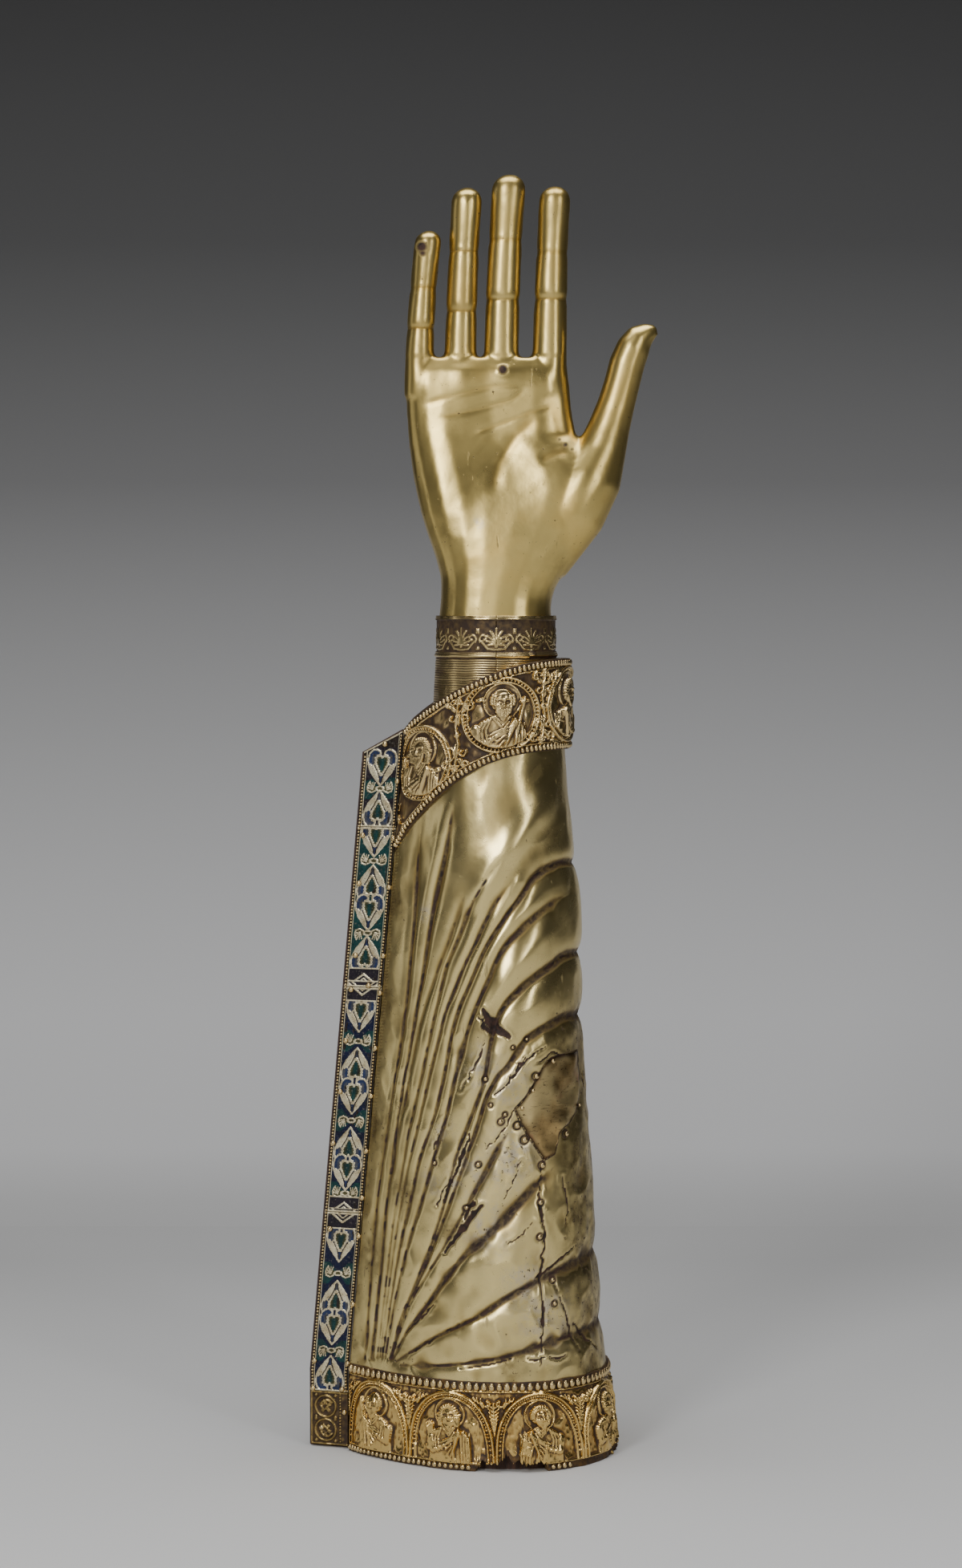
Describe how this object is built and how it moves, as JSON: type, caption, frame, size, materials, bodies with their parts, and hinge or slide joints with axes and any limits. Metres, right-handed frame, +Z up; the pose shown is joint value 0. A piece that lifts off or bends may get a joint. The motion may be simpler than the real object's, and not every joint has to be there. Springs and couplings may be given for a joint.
{
  "type": "arm reliquary",
  "caption": "Standing gilt arm reliquary: open hand and draped sleeve over oak, relief bands at foot and wrist, enamelled border strip.",
  "frame": {"origin": "centre of the overall box at the level of the underside", "axes": "+Z up along the arm to the fingertips, -Y the side the palm looks to, -X the side of the enamelled border strip"},
  "size_m": [0.1397, 0.0919, 0.5097],
  "materials": {
    "oak": "old dark oak, matte",
    "gilt_silver": "hammered and gilded silver sheet, worn, tarnished in the folds",
    "gilt_silver_hand": "smooth gilded silver, satin to bright",
    "gilt_silver_relief": "chased and gilded silver relief with dark recesses",
    "gilt_silver_cuff": "engraved and gilded silver, satin",
    "copper_patch": "coppery brown repair plate, satin",
    "champleve_enamel": "glassy blue, green and turquoise enamel in gilded metal cells"
  },
  "bodies": {
    "root": {"oak_core": "oak", "mouth_sheet": "gilt_silver_cuff", "sleeve_sheet": "gilt_silver", "lower_apostle_band": "gilt_silver_relief", "upper_apostle_band": "gilt_silver_relief", "corner_scroll_plaque": "gilt_silver_relief", "back_border_strip": "gilt_silver_relief", "enamel_plaque_1": "champleve_enamel", "enamel_plaque_2": "champleve_enamel", "enamel_plaque_3": "champleve_enamel", "enamel_plaque_4": "champleve_enamel", "wrist_cuff": "gilt_silver_cuff", "hand": "gilt_silver_hand", "repair_patch": "copper_patch"}
  },
  "joints": []
}
